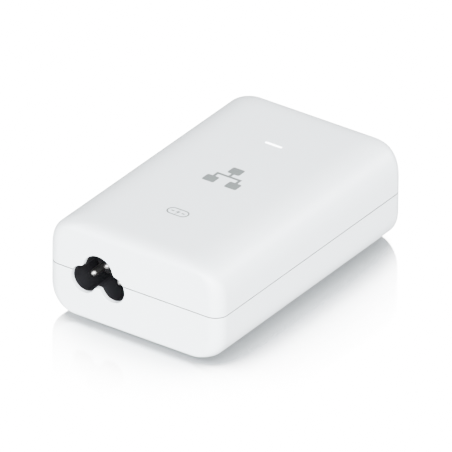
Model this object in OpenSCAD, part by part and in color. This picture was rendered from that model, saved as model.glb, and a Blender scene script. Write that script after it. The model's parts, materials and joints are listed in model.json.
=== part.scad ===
/* [Case] */
// Width of the case, side to side
body_w = 64.5; // [62:0.5:72]
// Length of the case, inlet end to socket end
body_l = 100; // [100:0.5:110]
// Height of the case, without the feet
body_h = 32.5; // [32:0.5:36]
// Height of the parting line above the case's underside
seam_h = 16; // [14:0.5:17]
// Width of the groove at the parting line
seam_gap = 0.3; // [0.2:0.05:0.6]
// Wall thickness of both shells
wall = 2; // [1.8:0.1:2.4]
// Run of the long top edges' curve across the top
side_top_run = 15.5; // [11:0.5:17]
// Drop of the long top edges' curve down the side
side_top_drop = 12.5; // [9:0.5:13]
// Run of the short top edges' curve across the top
end_top_run = 7.5; // [4:0.5:9]
// Drop of the short top edges' curve down the end
end_top_drop = 3.5; // [3:0.5:5]
// Radius of the long bottom edges
side_bottom_r = 9.5; // [6:0.5:11]
// Radius of the short bottom edges
end_bottom_r = 1.5; // [1:0.5:3]
// Radius of the upright corners
corner_r = 4.5; // [4:0.5:6]
// Squareness of the top edge curves: 2 is round, more is squarer
top_power = 2.9; // [2.2:0.1:3.2]
// Squareness of the bottom edge curves: 2 is round, more is squarer
bottom_power = 2.4; // [2:0.1:2.6]

/* [Feet and label] */
// Diameter of a rubber foot
foot_d = 9; // [7:0.5:10]
// How far a foot stands proud of the case
foot_proud = 1.2; // [0.3:0.1:1.5]
// Spacing of the feet across the case
foot_span_x = 34; // [28:1:36]
// Spacing of the feet along the case
foot_span_y = 78; // [70:1:82]
// Width of the label
label_w = 40; // [30:1:42]
// Length of the label
label_l = 56; // [40:1:60]

/* [Light slit] */
// Length of the light slit, across the case
slit_len = 6.2; // [4:0.2:8]
// Width of the light slit
slit_w = 1; // [0.8:0.1:1.4]
// Distance of the light slit from the case's middle
slit_y = 25.4; // [24.6:0.2:26]

/* [Mains inlet] */
// Distance of the inlet's middle from the case's middle, towards the left
inlet_x = 13.1; // [12.6:0.1:13.6]
// Height of the line and neutral pins above the case's underside
inlet_z = 13.85; // [13.6:0.05:14.2]
// Spacing of the line and neutral pins
pin_pitch = 10; // [10:1:10]
// Spacing of the middles of the opening's two side lobes
lobe_pitch = 10.7; // [10:0.1:10.8]
// Height of the earth pin above the line and neutral pins
earth_rise = 4.1; // [4:0.1:4.6]
// Diameter of a pin
pin_d = 2.4; // [2.2:0.1:2.6]
// Depth of the pins' tips behind the case's end face
pin_setback = 4.2; // [4.2:0.1:5.5]
// Depth of the inlet's recess
inlet_depth = 13.5; // [12.5:0.5:13.5]

/* [Data sockets] */
// Distance between the middles of the two sockets
jack_pitch = 24; // [20:0.5:26]
// Width of a socket's plug opening
plug_w = 11.9; // [11.8:0.1:12.1]
// Height of a socket's plug opening
plug_h = 7.2; // [6.9:0.1:7.4]
// Depth of a socket's plug opening
plug_depth = 13; // [12.5:0.5:14]
// Slope of the relaxed contact wires, in degrees
contact_slope = 20; // [18:1:21]

/* [Hidden] */
$fn = 48;

// Heights. Everything stands on the feet, so the case starts foot_proud above the floor.
case_z = foot_proud;
seam_z = case_z + seam_h;
board_z = case_z + 5.5;
board_t = 1.6;
board_top = board_z + board_t;
board_w = 53;
board_y0 = -body_l / 2 + 4.5;
board_y1 = body_l / 2 - 3;
lead_drop = 1.2;
sheet_z = case_z + 3.2;
sheet_t = 0.4;
hole_play = 0.15;
fit_gap = 0.2;
skin = 0.05;

// Facets of the case skin: steps round each upright corner and up each edge curve.
corner_steps = 7;
edge_steps = 11;
least_r = 0.6;
least_corner_r = 1.5;
least_drop = 1.5;
corner_growth = 0.1;

// Tongue of the lower shell that stands inside the upper shell, and the rebate it fits.
tongue_h = 1.6;
tongue_t = 0.8;
tongue_w = body_w - 2 * wall + 2 * tongue_t;
tongue_l = body_l - 2 * wall + 2 * tongue_t;
tongue_r = corner_r - wall + tongue_t;

// Mains inlet: lobe radii of the opening and of the black housing's recess, and the radius of
// each pin where the housing holds it.
side_lobe_r = 4.6;
earth_lobe_r = 5.6;
recess_step = 0.35;
inlet_wall = 1.4;
inlet_collar = 0.7;
pin_root_r = 0.9;
pin_tail_r = 0.6;
lobe_bridge_h = 3.2;
inlet_face_y = -body_l / 2 + wall;
inlet_back_y = -body_l / 2 + inlet_depth + 2;
pin_z = case_z + inlet_z;
earth_z = pin_z + earth_rise;
inlet_foot_w = 2 * (lobe_pitch / 2 + side_lobe_r - recess_step + inlet_wall);
inlet_top = earth_z + earth_lobe_r - recess_step + inlet_wall;

// Data sockets.
jack_w = 15.6;
jack_h = 13.4;
jack_len = 18;
jack_face_y = body_l / 2 - 0.7;
jack_back_y = jack_face_y - jack_len;
shield_t = 0.25;
opening_top = board_top + 11.3;
opening_bottom = opening_top - plug_h;
latch_w = 6.4;
latch_drop = 1.3;
latch_inner_w = 3.4;
latch_inner_drop = 1.1;
contact_count = 8;
contact_pitch = 1.02;
contact_w = 0.4;
contact_t = 0.3;
contact_len = 8.6;
groove_w = 0.62;
groove_h = 1.2;
groove_lip = 1.3;
groove_len = 11;
hinge_y = jack_face_y - 2.6;
hinge_z = opening_top + 0.55;
tail_gap = 0.35;

// Component sizes and places on the board.
fuse_size = [4.2, 8.4, 7.6];
fuse_pos = [6, -40];
varistor_d = 10;
varistor_pos = [13.8, -41];
thermistor_d = 9;
thermistor_pos = [20, -36.1];
filter_size = [18, 7, 13];
filter_pos = [13.5, -29.5];
choke_r = 8;
choke_bore_r = 4.2;
choke_h = 7;
choke_lift = 2.2;
choke_lead_span = [6.4, 4];
choke_pos = [-11.5, -21.8];
bridge_size = [8.4, 6.4, 3.4];
bridge_pos = [3.4, -20];
bulk_r = 8;
bulk_len = 27;
bulk_pos = [17, -8];
core_size = [25, 25, 7];
core_leg = 4;
core_window_l = 17;
core_centre_w = 7;
core_pos = [-6, 2];
core_z = board_top + 10;
primary_sink_pos = [-25.2, -15];
secondary_sink_pos = [25.2, 18];
sink_t = 1.8;
sink_l = 28;
secondary_sink_l = 22;
sink_h = 16;
transistor_y = -6;
diode_y = 20;
package_size = [4.4, 10];
safety_pos = [-16, 18.2];
opto_size = [4.6, 6.4, 3.4];
opto_pos = [-4.9, 20.2];
output_cap_r = 5;
output_cap_h = 18;
output_cap_x = 12.5;
output_cap_y = [12.5, 25.2];
output_choke_r = 3.6;
output_choke_pos = [2.5, 19.5];
chip_size = [5, 4, 1.5];
chip_pos = [5.9, -12.2];
magnetics_size = [15, 8.4, 5.8];
magnetics_pos = [-15.6, 26.4];
magnetics_pitch = 1.2;
led_size = [3.2, 1.6, 0.5];
lens_size = [2, 1.4, 0.6];

// Power packages: height of the moulded body over its bent legs, and the metal tab above it.
body_lift = 1.6;
body_rise = 7.6;
tab_t = 1.3;
tab_rise = 6.2;
screw_rise = 12.6;

// Post positions of the lower shell, under the board's corners.
posts = [[-23.5, -42], [23.5, -44], [-23.6, 27.5], [23, 31]];
post_r = 2.2;

// Lead holes in the board, as [x, y, lead radius].
fuse_leads = [for (s = [-1, 1]) [fuse_pos[0], fuse_pos[1] + s * 2.5, 0.3]];
varistor_leads = [for (s = [-1, 1]) [varistor_pos[0] + s * 3, varistor_pos[1], 0.3]];
thermistor_leads = [for (s = [-1, 1]) [thermistor_pos[0] + s * 2.5, thermistor_pos[1], 0.3]];
filter_leads = [for (s = [-1, 1]) [filter_pos[0] + s * 7.5, filter_pos[1], 0.35]];
bridge_leads = [for (i = [-1, 1], j = [-1, 1]) [bridge_pos[0] + i * 2.5, bridge_pos[1] + j * 4.2, 0.25]];
bulk_leads = [for (s = [-1, 1]) [bulk_pos[0] + s * 3.5, bulk_pos[1] - bulk_len / 2 - 1.6, 0.35]];
sink_leads = [for (s = [-1, 1]) [primary_sink_pos[0], primary_sink_pos[1] + s * 11, 0.5]];
sink2_leads = [for (s = [-1, 1]) [secondary_sink_pos[0], secondary_sink_pos[1] + s * 8, 0.5]];
transistor_x = primary_sink_pos[0] + sink_t / 2 + package_size[0] / 2;
diode_x = secondary_sink_pos[0] - sink_t / 2 - package_size[0] / 2;
transistor_leads = [for (i = [-1:1]) [transistor_x + 0.6, transistor_y + i * 2.54, 0.35]];
diode_leads = [for (i = [-1:1]) [diode_x - 0.6, diode_y + i * 2.54, 0.35]];
safety_leads = [for (s = [-1, 1]) [safety_pos[0] + s * 2.5, safety_pos[1], 0.3]];
opto_leads = [for (i = [-1, 1], j = [-1, 1]) [opto_pos[0] + i * 1.27, opto_pos[1] + j * 3.8, 0.25]];
cap_leads = [for (y = output_cap_y, s = [-1, 1]) [output_cap_x + s * 2.5, y, 0.3]];
output_choke_leads = [for (s = [-1, 1]) [output_choke_pos[0] + s * 2, output_choke_pos[1], 0.3]];
bobbin_leads = [for (i = [-2:2], j = [-1, 1]) [core_pos[0] + i * 3.5, core_pos[1] + j * 12, 0.35]];
choke_leads = [for (i = [-1, 1], j = [-1, 1])
  [choke_pos[0] + i * choke_lead_span[0], choke_pos[1] + j * choke_lead_span[1], 0.4]];
inlet_leads = [for (p = [[-1, 0], [1, 0], [0, 1]])
  [-inlet_x + p[0] * pin_pitch / 2, inlet_back_y + 2 + p[1], pin_tail_r]];
jack_xs = [-jack_pitch / 2, jack_pitch / 2];
tail_y = jack_back_y + 0.9;
tail_leads = [for (x = jack_xs, i = [0:contact_count - 1]) [x + contact_x(i), tail_y, 0.28]];
board_holes = concat(
  fuse_leads, varistor_leads, thermistor_leads, filter_leads, bridge_leads, bulk_leads,
  sink_leads, sink2_leads, transistor_leads, diode_leads, safety_leads, opto_leads, cap_leads,
  output_choke_leads, bobbin_leads, choke_leads, inlet_leads, tail_leads
);

function contact_x(i) = (i - (contact_count - 1) / 2) * contact_pitch;

// Horizontal inset along an edge curve: t goes from 0 at its start to 1 at its end.
function edge_curve(t, run, power) = run * (1 - pow(1 - pow(min(1, max(0, t)), power), 1 / power));
function top_inset(z, h, run, drop) = edge_curve((z - h + drop) / drop, run, top_power);
function bottom_inset(z, r) = edge_curve((r - z) / r, r, bottom_power);

// One level of the skin: a rectangle with rounded corners, d inside the outer face.
function level(z, d) =
  let(
    h = body_h - d,
    end_drop = max(end_top_drop - d, least_drop),
    a = top_inset(z, h, side_top_run - d, side_top_drop - d) + bottom_inset(z, side_bottom_r - d),
    b = top_inset(z, h, end_top_run - d, end_drop) + bottom_inset(z, max(end_bottom_r - d, least_r)),
    w = body_w / 2 - d - a,
    l = body_l / 2 - d - b,
    r = max(corner_r - d, least_corner_r) + corner_growth * sqrt(a * b)
  )
  [for (c = [0:3], i = [0:corner_steps])
    let(
      g = 90 * (c + i / corner_steps),
      sx = (c == 0 || c == 3) ? 1 : -1,
      sy = (c < 2) ? 1 : -1
    )
    [sx * (w - r) + r * cos(g), sy * (l - r) + r * sin(g), z]];

// Level heights up the top edge curve, from the parting line to the crown.
function top_zs(z0, d) =
  let(h = body_h - d, drop = side_top_drop - d)
  concat([z0], [for (i = [0:edge_steps]) h - drop + drop * pow(sin(90 * i / edge_steps), 2 / top_power)]);

// Level heights down the bottom edge curve, from the parting line to the base.
function bottom_zs(z0, d) =
  let(r = side_bottom_r - d)
  concat([z0], [for (i = [0:edge_steps]) r - r * pow(sin(90 * i / edge_steps), 2 / bottom_power)]);

// A closed skin from a list of levels; the first and the last level are capped.
module skin_solid(levels, upward) {
  n = len(levels[0]);
  m = len(levels);
  pts = [for (v = levels, p = v) p];
  side = [for (j = [0:m - 2], i = [0:n - 1])
    let(a = j * n + i, b = j * n + (i + 1) % n)
    upward ? [a, a + n, b + n, b] : [a, b, b + n, a + n]];
  first = [for (i = [0:n - 1]) upward ? i : n - 1 - i];
  last = [for (i = [0:n - 1]) (m - 1) * n + (upward ? n - 1 - i : i)];
  polyhedron(points = pts, faces = concat(side, [first, last]), convexity = 4);
}

module rounded_plate(w, l, h, r) {
  linear_extrude(height = h) {
    rounded_outline(w, l, r);
  }
}

module rounded_outline(w, l, r) {
  square([w - 2 * r, l], center = true);
  square([w, l - 2 * r], center = true);
  for (x = [-1, 1], y = [-1, 1]) {
    translate([x * (w / 2 - r), y * (l / 2 - r)]) circle(r = r);
  }
}

// A cylinder along Y from y0 to y1.
module rod_y(x, y0, y1, z, r) {
  translate([x, y0, z]) rotate([-90, 0, 0]) cylinder(r = r, h = y1 - y0);
}

// The cloverleaf shape of the mains inlet, cut inward by d, from y0 to y1.
module clover(y0, y1, d) {
  for (s = [-1, 1]) {
    rod_y(-inlet_x + s * lobe_pitch / 2, y0, y1, pin_z, side_lobe_r - d);
  }
  rod_y(-inlet_x, y0, y1, earth_z, earth_lobe_r - d);
  translate([-inlet_x - lobe_pitch / 2, y0, pin_z + d / 3])
    cube([lobe_pitch, y1 - y0, lobe_bridge_h - 2 * d / 3]);
}

module socket_cutouts() {
  for (x = jack_xs) {
    translate([x - jack_w / 2 - shield_t - fit_gap, body_l / 2 - wall - 2, board_top - fit_gap])
      cube([jack_w + 2 * shield_t + 2 * fit_gap, wall + 4, jack_h + shield_t + 2 * fit_gap]);
  }
}

module upper_shell() {
  color("white") difference() {
    translate([0, 0, case_z]) skin_solid([for (z = top_zs(seam_h + seam_gap, 0)) level(z, 0)], true);
    translate([0, 0, case_z]) skin_solid([for (z = top_zs(seam_h - 1, wall)) level(z, wall)], true);
    translate([0, 0, seam_z]) rounded_plate(tongue_w, tongue_l, tongue_h, tongue_r);
    clover(-body_l / 2 - 1, -body_l / 2 + wall + 1, 0);
    socket_cutouts();
    translate([-slit_len / 2, slit_y - slit_w / 2, case_z + body_h - wall - 1])
      cube([slit_len, slit_w, wall + 2]);
  }
}

module lower_shell() {
  color("white") difference() {
    union() {
      difference() {
        union() {
          translate([0, 0, case_z]) skin_solid([for (z = bottom_zs(seam_h, 0)) level(z, 0)], false);
          translate([0, 0, seam_z - 1])
            rounded_plate(tongue_w - 2 * skin, tongue_l - 2 * skin, 1 + tongue_h, tongue_r - skin);
        }
        translate([0, 0, case_z + wall])
          skin_solid([for (z = bottom_zs(seam_h + tongue_h, wall)) level(z, wall)], false);
      }
      for (p = posts) {
        translate([p[0], p[1], case_z + wall / 2]) cylinder(r = post_r, h = board_z - case_z - wall / 2);
      }
    }
    clover(-body_l / 2 - 1, -body_l / 2 + wall + 1, 0);
    socket_cutouts();
    for (x = [-1, 1], y = [-1, 1]) {
      translate([x * foot_span_x / 2, y * foot_span_y / 2, case_z - 1]) cylinder(d = foot_d + 0.3, h = 1.8);
    }
    translate([0, 0, case_z - 1]) rounded_plate(label_w + 0.8, label_l + 0.8, 1.3, 2.4);
  }
}

module foot(x, y) {
  r = foot_d / 2;
  top = case_z + 0.8;
  color("gainsboro") translate([x, y, 0]) rotate_extrude()
    polygon([[0, 0], [r - 0.5, 0], [r, 0.4], [r, top], [0, top]]);
}

module rating_label() {
  color("whitesmoke") translate([0, 0, case_z + 0.1]) rounded_plate(label_w, label_l, 0.2, 2);
}

module led_light_pipe() {
  top = case_z + body_h;
  foot_z = board_top + 1.6;
  flange = 0.9;
  flange_t = 1.1;
  color("white", 0.8) union() {
    translate([-slit_len / 2 + skin, slit_y - slit_w / 2 + skin, foot_z])
      cube([slit_len - 2 * skin, slit_w - 2 * skin, top - 0.1 - foot_z]);
    translate([-slit_len / 2 - flange, slit_y - slit_w / 2 - flange, top - wall - flange_t - 0.2])
      cube([slit_len + 2 * flange, slit_w + 2 * flange, flange_t]);
  }
}

module status_led() {
  color("lightyellow") union() {
    translate([-led_size[0] / 2, slit_y - led_size[1] / 2, board_top]) cube(led_size);
    translate([-lens_size[0] / 2, slit_y - lens_size[1] / 2, board_top + led_size[2]]) cube(lens_size);
  }
}

// The housing: a block behind the end wall, a collar that stands inside the case's opening, the
// recess, and a bore for each pin.
module ac_inlet_housing() {
  color("black") difference() {
    union() {
      translate([-inlet_x - inlet_foot_w / 2, inlet_face_y, board_top])
        cube([inlet_foot_w, inlet_back_y - inlet_face_y, inlet_top - board_top]);
      clover(inlet_face_y - inlet_collar, inlet_face_y + 1, skin);
    }
    clover(inlet_face_y - 1, -body_l / 2 + inlet_depth, recess_step);
    for (s = [-1, 1]) {
      rod_y(-inlet_x + s * pin_pitch / 2, inlet_face_y, inlet_back_y + 1, pin_z, pin_root_r);
    }
    rod_y(-inlet_x, inlet_face_y, inlet_back_y + 1, earth_z, pin_root_r);
  }
}

// A round pin with a domed tip, and a tail behind the housing down into the board.
module inlet_pin(x, z, back) {
  tip_y = -body_l / 2 + pin_setback;
  floor_y = -body_l / 2 + inlet_depth;
  color("silver") union() {
    translate([x, tip_y, z]) rotate([-90, 0, 0]) rotate_extrude()
      polygon(concat(
        [[0, back - tip_y + 0.6]],
        [for (a = [0:10:90]) [pin_d / 2 * sin(a), pin_d / 2 * 0.7 * (1 - cos(a))]],
        [[pin_d / 2, floor_y - tip_y], [pin_root_r, floor_y - tip_y], [pin_root_r, back - tip_y + 0.6]]
      ));
    translate([x, back, board_z - lead_drop]) cylinder(r = pin_tail_r, h = z - board_z + lead_drop);
  }
}

module inlet_line_pin() {
  inlet_pin(-inlet_x + pin_pitch / 2, pin_z, inlet_leads[1][1]);
}

module inlet_neutral_pin() {
  inlet_pin(-inlet_x - pin_pitch / 2, pin_z, inlet_leads[0][1]);
}

module inlet_earth_pin() {
  inlet_pin(-inlet_x, earth_z, inlet_leads[2][1]);
}

module main_circuit_board() {
  color("darkgreen") difference() {
    translate([0, (board_y0 + board_y1) / 2, board_z])
      rounded_plate(board_w, board_y1 - board_y0, board_t, 3);
    for (p = board_holes) {
      translate([p[0], p[1], board_z - 1]) cylinder(r = p[2] + hole_play, h = board_t + 2);
    }
  }
}

module insulator_sheet() {
  color("ivory") difference() {
    translate([0, (board_y0 + board_y1) / 2, sheet_z])
      rounded_plate(board_w - 1, board_y1 - board_y0 - 1, sheet_t, 3);
    for (p = posts) {
      translate([p[0], p[1], sheet_z - 1]) cylinder(r = post_r + 0.4, h = 3);
    }
  }
}

// Straight leads from height z down through the board.
module leads(list, z) {
  for (p = list) {
    translate([p[0], p[1], board_z - lead_drop]) cylinder(r = p[2], h = z - board_z + lead_drop);
  }
}

module mains_fuse() {
  color("dimgray") union() {
    translate([fuse_pos[0], fuse_pos[1], board_top])
      rounded_plate(fuse_size[0], fuse_size[1], fuse_size[2], 0.8);
    leads(fuse_leads, board_top + 1);
  }
}

// An upright disc on two leads, its flat faces along Y.
module disc_part(pos, d, t, list) {
  union() {
    translate([pos[0], pos[1] + t / 2, board_top + 1.5 + d / 2]) rotate([90, 0, 0]) cylinder(d = d, h = t);
    leads(list, board_top + 1.5 + d / 4);
  }
}

module surge_varistor() {
  color("royalblue") disc_part(varistor_pos, varistor_d, 4, varistor_leads);
}

module inrush_thermistor() {
  color("darkolivegreen") disc_part(thermistor_pos, thermistor_d, 4.2, thermistor_leads);
}

module mains_filter_capacitor() {
  color("gold") union() {
    translate([filter_pos[0], filter_pos[1], board_top])
      rounded_plate(filter_size[0], filter_size[1], filter_size[2], 0.6);
    leads(filter_leads, board_top + 1);
  }
}

module choke_core() {
  color("darkseagreen") translate([choke_pos[0], choke_pos[1], board_top + choke_lift]) difference() {
    cylinder(r = choke_r, h = choke_h);
    translate([0, 0, -1]) cylinder(r = choke_bore_r, h = choke_h + 2);
  }
}

// Two half windings on the ring core, each an arc of wire round its section, with two leads.
module choke_windings() {
  gap = skin;
  wire = 1.1;
  color("peru") for (s = [0, 1]) {
    union() {
      translate([choke_pos[0], choke_pos[1], board_top + choke_lift - gap - wire])
        rotate([0, 0, s * 180 - 60]) rotate_extrude(angle = 120) difference() {
          translate([choke_bore_r - gap - wire, 0])
            square([choke_r - choke_bore_r + 2 * (gap + wire), choke_h + 2 * (gap + wire)]);
          translate([choke_bore_r - gap, wire])
            square([choke_r - choke_bore_r + 2 * gap, choke_h + 2 * gap]);
        }
      for (j = [-1, 1]) {
        x = choke_pos[0] + (s == 0 ? 1 : -1) * choke_lead_span[0];
        translate([x, choke_pos[1] + j * choke_lead_span[1], board_z - lead_drop])
          cylinder(r = 0.4, h = board_top + 1.6 - board_z + lead_drop);
      }
    }
  }
}

module bridge_rectifier() {
  color("black") union() {
    translate([bridge_pos[0], bridge_pos[1], board_top + 0.5])
      rounded_plate(bridge_size[0], bridge_size[1], bridge_size[2], 0.4);
    for (p = bridge_leads) {
      y0 = p[1] > bridge_pos[1] ? bridge_pos[1] + 2.9 : p[1] - 0.25;
      translate([p[0] - 0.25, y0, board_top + 2]) cube([0.5, 1.55, 0.4]);
    }
    leads(bridge_leads, board_top + 2.2);
  }
}

module bulk_capacitor() {
  z = board_top + bulk_r + 0.1;
  y0 = bulk_pos[1] - bulk_len / 2;
  color("midnightblue") union() {
    translate([bulk_pos[0], y0, z]) rotate([-90, 0, 0]) rotate_extrude()
      polygon([
        [0, 0], [bulk_r - 0.6, 0], [bulk_r, 0.6], [bulk_r, 2.6], [bulk_r - 0.5, 3.1], [bulk_r - 0.5, 3.9],
        [bulk_r, 4.4], [bulk_r, bulk_len - 0.6], [bulk_r - 0.6, bulk_len], [0, bulk_len]
      ]);
    for (p = bulk_leads) {
      rod_y(p[0], p[1], y0 + 1, z, p[2]);
    }
    leads(bulk_leads, z);
  }
}

module transformer_core() {
  window_w = (core_size[0] - 2 * core_leg - core_centre_w) / 2;
  color("darkslategray") difference() {
    translate([core_pos[0], core_pos[1], core_z]) cube(core_size, center = true);
    for (s = [-1, 1]) {
      translate([core_pos[0] + s * (core_centre_w + window_w) / 2, core_pos[1], core_z])
        cube([window_w, core_window_l, core_size[2] + 2], center = true);
    }
  }
}

// The bobbin: a tube round the core's centre leg, two flanges and two pin rails on the board.
module transformer_bobbin() {
  tube_w = core_centre_w + 2;
  tube_h = core_size[2] + 2;
  flange_w = core_size[0] - 2 * core_leg - 0.6;
  color("saddlebrown") union() {
    difference() {
      translate([core_pos[0], core_pos[1], core_z]) union() {
        cube([tube_w, core_window_l - 0.4, tube_h], center = true);
        for (s = [-1, 1]) {
          translate([0, s * (core_window_l / 2 - 0.7), 0]) cube([flange_w, 1, 15.6], center = true);
        }
      }
      translate([core_pos[0], core_pos[1], core_z])
        cube([core_centre_w + 0.2, core_window_l + 2, core_size[2] + 0.2], center = true);
    }
    for (s = [-1, 1]) {
      translate([core_pos[0], core_pos[1] + s * 10.8, board_top + 1.5])
        cube([flange_w, 5.4, 3], center = true);
    }
    leads(bobbin_leads, board_top + 2);
  }
}

module transformer_winding() {
  tube_w = core_centre_w + 2.2;
  tube_h = core_size[2] + 2.2;
  wind_l = core_window_l - 2.8;
  color("khaki") translate([core_pos[0], core_pos[1] + wind_l / 2, core_z]) rotate([90, 0, 0])
    difference() {
      rounded_plate(16, 15, wind_l, 3);
      translate([0, 0, wind_l / 2]) cube([tube_w, tube_h, wind_l + 2], center = true);
    }
}

// An upright aluminium plate with a hole for its screw and two legs in the board.
module heat_sink(pos, len, hole_y, list) {
  color("silver") union() {
    difference() {
      translate([pos[0] - sink_t / 2, pos[1] - len / 2, board_top]) cube([sink_t, len, sink_h]);
      translate([pos[0] - sink_t, hole_y, board_top + screw_rise])
        rotate([0, 90, 0]) cylinder(r = 1.6, h = 2 * sink_t);
    }
    leads(list, board_top + 1);
  }
}

module primary_heat_sink() {
  heat_sink(primary_sink_pos, sink_l, transistor_y, sink_leads);
}

module secondary_heat_sink() {
  heat_sink(secondary_sink_pos, secondary_sink_l, diode_y, sink2_leads);
}

// A power package: moulded body, metal tab with a hole, three leads. side is its sink's side.
module power_package(x, y, side, list) {
  tab_x = side > 0 ? x + package_size[0] / 2 - tab_t : x - package_size[0] / 2;
  color("black") union() {
    translate([x - package_size[0] / 2, y - package_size[1] / 2, board_top + body_lift])
      cube([package_size[0], package_size[1], body_rise]);
    difference() {
      translate([tab_x, y - package_size[1] / 2, board_top + body_lift + body_rise])
        cube([tab_t, package_size[1], tab_rise]);
      translate([x - package_size[0], y, board_top + screw_rise])
        rotate([0, 90, 0]) cylinder(r = 1.7, h = 2 * package_size[0]);
    }
    leads(list, board_top + 2.6);
  }
}

module switching_transistor() {
  power_package(transistor_x, transistor_y, -1, transistor_leads);
}

module output_diode() {
  power_package(diode_x, diode_y, 1, diode_leads);
}

// Two screws that clamp the power packages, each through a tab and its heat sink.
module heat_sink_screws() {
  grip = tab_t + sink_t;
  color("silver") for (k = [0, 1]) {
    s = k == 0 ? 1 : -1;
    face = k == 0 ? primary_sink_pos[0] + sink_t / 2 + tab_t : secondary_sink_pos[0] - sink_t / 2 - tab_t;
    y = k == 0 ? transistor_y : diode_y;
    translate([face, y, board_top + screw_rise]) rotate([0, s * 90, 0]) difference() {
      union() {
        cylinder(r = 2.7, h = 1.9);
        translate([0, 0, -grip - 0.6]) cylinder(r = 1.5, h = grip + 1);
      }
      for (a = [0, 90]) {
        rotate([0, 0, a]) translate([-1.6, -0.3, 1]) cube([3.2, 0.6, 2]);
      }
    }
  }
}

module safety_capacitor() {
  color("deepskyblue") disc_part(safety_pos, 8, 3.6, safety_leads);
}

module feedback_optocoupler() {
  color("black") union() {
    translate([opto_pos[0], opto_pos[1], board_top + 0.4])
      rounded_plate(opto_size[0], opto_size[1], opto_size[2], 0.3);
    for (p = opto_leads) {
      y0 = p[1] > opto_pos[1] ? opto_pos[1] + 2.9 : p[1] - 0.25;
      translate([p[0] - 0.25, y0, board_top + 1.8]) cube([0.5, 1.15, 0.3]);
    }
    leads(opto_leads, board_top + 2);
  }
}

module output_capacitor(i) {
  color("darkslateblue") union() {
    translate([output_cap_x, output_cap_y[i], board_top]) rotate_extrude()
      polygon([
        [0, 0], [output_cap_r - 0.4, 0], [output_cap_r, 0.4], [output_cap_r, 1.6], [output_cap_r - 0.4, 2],
        [output_cap_r - 0.4, 2.6], [output_cap_r, 3], [output_cap_r, output_cap_h - 0.4],
        [output_cap_r - 0.4, output_cap_h], [0, output_cap_h]
      ]);
    leads([cap_leads[2 * i], cap_leads[2 * i + 1]], board_top + 1);
  }
}

module output_choke() {
  color("dimgray") union() {
    translate([output_choke_pos[0], output_choke_pos[1], board_top]) rotate_extrude()
      polygon([
        [0, 0], [output_choke_r, 0], [output_choke_r, 1.2], [output_choke_r - 0.5, 1.2],
        [output_choke_r - 0.5, 8], [output_choke_r, 8], [output_choke_r, 9.2], [0, 9.2]
      ]);
    leads(output_choke_leads, board_top + 1);
  }
}

// A small surface-mounted chip with four bent feet a side.
module controller_chip() {
  color("black") union() {
    translate([chip_pos[0] - chip_size[0] / 2, chip_pos[1] - chip_size[1] / 2, board_top + 0.15])
      cube(chip_size);
    for (i = [-1.5:1.5], s = [-1, 1]) {
      translate([chip_pos[0] + i * 1.27 - 0.2, chip_pos[1] + s * (chip_size[1] / 2 + 0.3) - 0.4, board_top])
        cube([0.4, 0.8, 0.6]);
    }
  }
}

// The data isolation module, with twelve bent feet a side.
module data_transformer_module() {
  color("black") union() {
    translate([magnetics_pos[0], magnetics_pos[1], board_top + 0.2])
      rounded_plate(magnetics_size[0], magnetics_size[1] - 1.4, magnetics_size[2], 0.3);
    for (i = [-5.5:5.5], s = [-1, 1]) {
      x = magnetics_pos[0] + i * magnetics_pitch;
      y = magnetics_pos[1] + s * (magnetics_size[1] / 2 - 0.7);
      translate([x - 0.2, y - 0.4, board_top]) cube([0.4, 0.8, 0.7]);
    }
  }
}

// The plug opening with its two latch steps, from depth y0 to y1.
module plug_space(x, y0, y1) {
  translate([x - plug_w / 2, y0, opening_bottom]) cube([plug_w, y1 - y0, plug_h]);
  translate([x - latch_w / 2, y0, opening_bottom - latch_drop]) cube([latch_w, y1 - y0, latch_drop + 1]);
  translate([x - latch_inner_w / 2, y0, opening_bottom - latch_drop - latch_inner_drop])
    cube([latch_inner_w, y1 - y0, latch_inner_drop + 1]);
}

module jack_housing(x) {
  top = board_top + jack_h - shield_t;
  color("black") difference() {
    translate([x - jack_w / 2, jack_back_y + 1.6, board_top])
      cube([jack_w, jack_len - 1.6, top - board_top]);
    plug_space(x, jack_face_y - plug_depth, jack_face_y + 1);
    for (i = [0:contact_count - 1]) {
      translate([x + contact_x(i) - groove_w / 2, jack_face_y - groove_lip - groove_len, opening_top - 1])
        cube([groove_w, groove_len, 1 + groove_h]);
      translate([x + contact_x(i) - groove_w / 2, jack_back_y, top - 0.55])
        cube([groove_w, jack_len - groove_lip - 1.1, 1]);
      translate([x + contact_x(i) - groove_w / 2, jack_face_y - groove_lip - 1.5, opening_top])
        cube([groove_w, 1.2, 5]);
    }
  }
}

// A folded steel cover over the top, sides and back, open at the front and below.
module jack_shield(x) {
  top = board_top + jack_h;
  w = jack_w + 2 * skin;
  color("silver") difference() {
    translate([x - w / 2 - shield_t, jack_back_y, board_top])
      cube([w + 2 * shield_t, jack_len, jack_h]);
    translate([x - w / 2, jack_back_y + shield_t, board_top - 1])
      cube([w, jack_len, jack_h + 1 - shield_t + skin]);
  }
}

// The fixed part of the contact wires: along the housing's roof and down into the board.
module contact_tails(x) {
  roof = board_top + jack_h - shield_t - 0.15;
  front = hinge_y + 0.55;
  color("gold") for (i = [0:contact_count - 1]) {
    translate([x + contact_x(i) - contact_w / 2, 0, 0]) rotate([90, 0, 90])
      linear_extrude(height = contact_w) polygon([
        [front, roof], [tail_y - 0.15, roof], [tail_y - 0.15, board_z - lead_drop],
        [tail_y + 0.15, board_z - lead_drop], [tail_y + 0.15, roof - contact_t],
        [front - contact_t, roof - contact_t], [front - contact_t, hinge_z + contact_t + tail_gap],
        [front, hinge_z + contact_t + tail_gap]
      ]);
  }
}

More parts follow.
